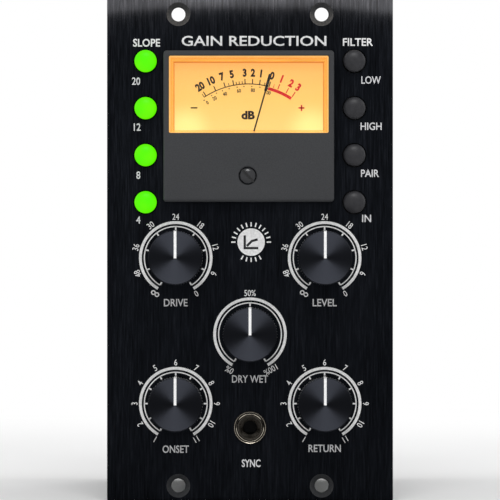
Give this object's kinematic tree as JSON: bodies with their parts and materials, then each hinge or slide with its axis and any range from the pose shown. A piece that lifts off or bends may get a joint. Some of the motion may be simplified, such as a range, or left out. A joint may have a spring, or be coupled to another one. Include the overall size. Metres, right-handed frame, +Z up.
{
  "type": "rack compressor",
  "caption": "Double-width plug-in rack compressor with a needle meter, turned knobs, lit push-buttons, a front jack, and boards in an open sheet-metal chassis with a card edge.",
  "frame": {"origin": "middle of the front panel's rear face, midway between the four rack holes", "axes": "+X is right as seen from the front, +Y goes back into the rack, +Z is up"},
  "size_m": [0.076, 0.1692, 0.1334],
  "materials": {
    "panel_black_anodised": "vertical brushed, black anodised, white printed scales",
    "chassis_black_steel": "fine satin black powder coat on folded sheet steel",
    "circuit_board": "green solder mask over glass fibre laminate",
    "black_moulding": "moulded black",
    "meter_charcoal": "fine matte charcoal moulding",
    "meter_clear": "clear polished acrylic pane",
    "meter_card": "cream card scale lit amber",
    "plain_steel": "zinc plated",
    "needle_black": "black painted thin aluminium",
    "lamp_glass": "small lit filament lamp",
    "knob_black": "black anodised, fluted side, spun face, white pointer line",
    "shaft_nickel": "nickel plated, satin",
    "pot_steel": "tinned pressed steel",
    "button_green": "translucent cap lit green",
    "button_grey": "translucent smoke grey cap, unlit",
    "switch_body": "moulded black",
    "jack_nickel": "nickel plated, warm tint",
    "transformer_can": "drawn nickel-iron screening can, satin",
    "capacitor_sleeve": "shrunk dark blue sleeve",
    "film_red": "moulded red box",
    "heat_sink_black": "black anodised extrusion"
  },
  "bodies": {
    "chassis": {"front_panel": "panel_black_anodised", "left_side_plate": "chassis_black_steel", "right_side_plate": "chassis_black_steel", "rear_plate": "chassis_black_steel", "main_board": "circuit_board", "sidechain_board": "circuit_board", "control_board": "circuit_board", "left_switch_board": "circuit_board", "right_switch_board": "circuit_board", "main_header": "black_moulding", "sidechain_header": "black_moulding", "meter_case": "black_moulding", "meter_bezel": "meter_charcoal", "meter_window": "meter_clear", "meter_dial": "meter_card", "meter_movement": "plain_steel", "meter_bracket": "plain_steel", "meter_lamp_left": "lamp_glass", "meter_lamp_right": "lamp_glass", "input_pot": "pot_steel", "output_pot": "pot_steel", "mix_pot": "pot_steel", "attack_pot": "pot_steel", "release_pot": "pot_steel", "left_switch_1": "switch_body", "left_switch_2": "switch_body", "left_switch_3": "switch_body", "left_switch_4": "switch_body", "right_switch_1": "switch_body", "right_switch_2": "switch_body", "right_switch_3": "switch_body", "right_switch_4": "switch_body", "jack_body": "jack_nickel", "jack_nut": "jack_nickel", "output_transformer": "transformer_can", "input_transformer": "transformer_can", "reservoir_capacitor_1": "capacitor_sleeve", "reservoir_capacitor_2": "capacitor_sleeve", "film_capacitor": "film_red", "regulator_heat_sink": "heat_sink_black"},
    "input_control": {"input_knob": "knob_black", "input_pot_shaft": "shaft_nickel"},
    "output_control": {"output_knob": "knob_black", "output_pot_shaft": "shaft_nickel"},
    "mix_control": {"mix_knob": "knob_black", "mix_pot_shaft": "shaft_nickel"},
    "attack_control": {"attack_knob": "knob_black", "attack_pot_shaft": "shaft_nickel"},
    "release_control": {"release_knob": "knob_black", "release_pot_shaft": "shaft_nickel"},
    "left_push_1": {"left_button_1": "button_green"},
    "left_push_2": {"left_button_2": "button_green"},
    "left_push_3": {"left_button_3": "button_green"},
    "left_push_4": {"left_button_4": "button_green"},
    "right_push_1": {"right_button_1": "button_grey"},
    "right_push_2": {"right_button_2": "button_grey"},
    "right_push_3": {"right_button_3": "button_grey"},
    "right_push_4": {"right_button_4": "button_grey"},
    "needle": {"meter_needle": "needle_black"},
    "zero_adjuster": {"meter_zero_screw": "black_moulding"}
  },
  "joints": [
    {"name": "input_turn", "type": "hinge", "parent": "chassis", "child": "input_control", "pos_m": [-0.01975, 0, -0.0021], "axis": [0, 1, 0], "range_deg": [-150, 150]},
    {"name": "output_turn", "type": "hinge", "parent": "chassis", "child": "output_control", "pos_m": [0.01985, 0, -0.0021], "axis": [0, 1, 0], "range_deg": [-150, 150]},
    {"name": "mix_turn", "type": "hinge", "parent": "chassis", "child": "mix_control", "pos_m": [0, 0, -0.0224], "axis": [0, 1, 0], "range_deg": [-150, 150]},
    {"name": "attack_turn", "type": "hinge", "parent": "chassis", "child": "attack_control", "pos_m": [-0.01975, 0, -0.04085], "axis": [0, 1, 0], "range_deg": [-150, 150]},
    {"name": "release_turn", "type": "hinge", "parent": "chassis", "child": "release_control", "pos_m": [0.01985, 0, -0.04085], "axis": [0, 1, 0], "range_deg": [-150, 150]},
    {"name": "left_button_1_press", "type": "slide", "parent": "chassis", "child": "left_push_1", "axis": [0, 1, 0], "range_m": [0, 0.0018], "stiffness_N_per_m": 600},
    {"name": "left_button_2_press", "type": "slide", "parent": "chassis", "child": "left_push_2", "axis": [0, 1, 0], "range_m": [0, 0.0018], "stiffness_N_per_m": 600},
    {"name": "left_button_3_press", "type": "slide", "parent": "chassis", "child": "left_push_3", "axis": [0, 1, 0], "range_m": [0, 0.0018], "stiffness_N_per_m": 600},
    {"name": "left_button_4_press", "type": "slide", "parent": "chassis", "child": "left_push_4", "axis": [0, 1, 0], "range_m": [0, 0.0018], "stiffness_N_per_m": 600},
    {"name": "right_button_1_press", "type": "slide", "parent": "chassis", "child": "right_push_1", "axis": [0, 1, 0], "range_m": [0, 0.0018], "stiffness_N_per_m": 600},
    {"name": "right_button_2_press", "type": "slide", "parent": "chassis", "child": "right_push_2", "axis": [0, 1, 0], "range_m": [0, 0.0018], "stiffness_N_per_m": 600},
    {"name": "right_button_3_press", "type": "slide", "parent": "chassis", "child": "right_push_3", "axis": [0, 1, 0], "range_m": [0, 0.0018], "stiffness_N_per_m": 600},
    {"name": "right_button_4_press", "type": "slide", "parent": "chassis", "child": "right_push_4", "axis": [0, 1, 0], "range_m": [0, 0.0018], "stiffness_N_per_m": 600},
    {"name": "needle_swing", "type": "hinge", "parent": "chassis", "child": "needle", "pos_m": [-0.00033, 0, 0.02665], "axis": [0, 1, 0], "range_deg": [-55.5, 24.5], "stiffness_Nm_per_rad": 0.0001},
    {"name": "zero_screw_turn", "type": "hinge", "parent": "chassis", "child": "zero_adjuster", "pos_m": [-0.0006, 0, 0.0197], "axis": [0, 1, 0], "continuous": true}
  ]
}
